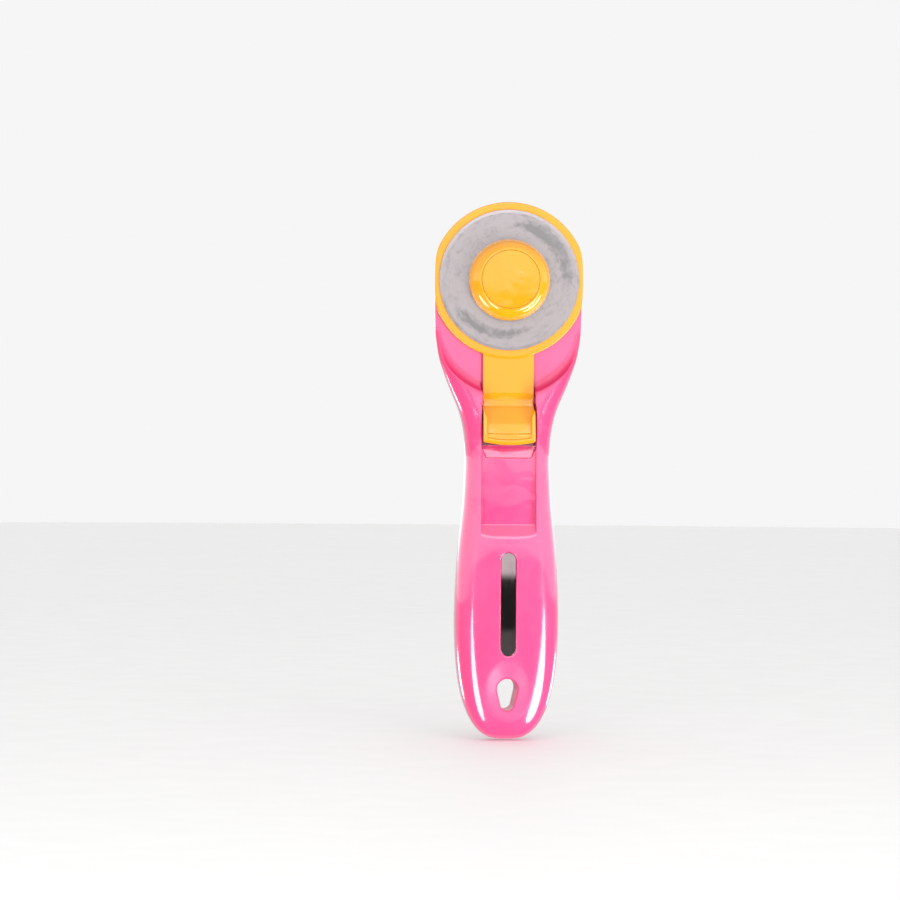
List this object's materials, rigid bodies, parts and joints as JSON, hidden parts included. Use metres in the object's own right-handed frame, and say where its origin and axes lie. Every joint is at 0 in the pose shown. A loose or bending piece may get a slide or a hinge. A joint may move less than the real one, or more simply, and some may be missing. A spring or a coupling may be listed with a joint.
{
  "type": "rotary cutter",
  "caption": "Hand-held rotary cutter: round blade behind a capped pin, sliding guard with thumb pad, contoured grip with hang hole and quick-release slide.",
  "frame": {"origin": "on the blade's axis, in the middle of the blade's thickness", "axes": "+Z from the grip's tail to the head, -Y out of the front where the blade is, +X to the right as seen from the front"},
  "size_m": [0.0478, 0.0207, 0.1726],
  "materials": {
    "magenta_plastic": "glossy",
    "yellow_plastic": "glossy",
    "black_plastic": "satin",
    "blade_steel": "satin, lightly oiled",
    "spring_steel": "bright drawn",
    "chrome": "mirror"
  },
  "bodies": {
    "handle": {"handle_body": "magenta_plastic", "back_cover": "magenta_plastic", "badge_strip": "chrome", "latch_spring": "spring_steel", "guard_spring": "spring_steel"},
    "guard": {"blade_guard": "yellow_plastic"},
    "slider": {"release_slider": "magenta_plastic"},
    "pin": {"pin_shaft": "black_plastic", "pin_cap": "yellow_plastic", "cap_disc": "yellow_plastic", "blade_washer": "spring_steel"},
    "blade": {"rotary_blade": "blade_steel"}
  },
  "joints": [
    {"name": "guard_slide", "type": "slide", "parent": "handle", "child": "guard", "axis": [0, 0, -1], "range_m": [0, 0.0065]},
    {"name": "release_slide", "type": "slide", "parent": "handle", "child": "slider", "axis": [0, 0, -1], "range_m": [0, 0.007], "stiffness_N_per_m": 300, "springref_m": -0.002, "deforming": ["latch_spring"]},
    {"name": "blade_release", "type": "slide", "parent": "handle", "child": "pin", "axis": [0, -1, 0], "range_m": [0, 0.025]},
    {"name": "blade_spin", "type": "hinge", "parent": "pin", "child": "blade", "pos_m": [0, 0, 0], "axis": [0, 1, 0], "continuous": true}
  ]
}
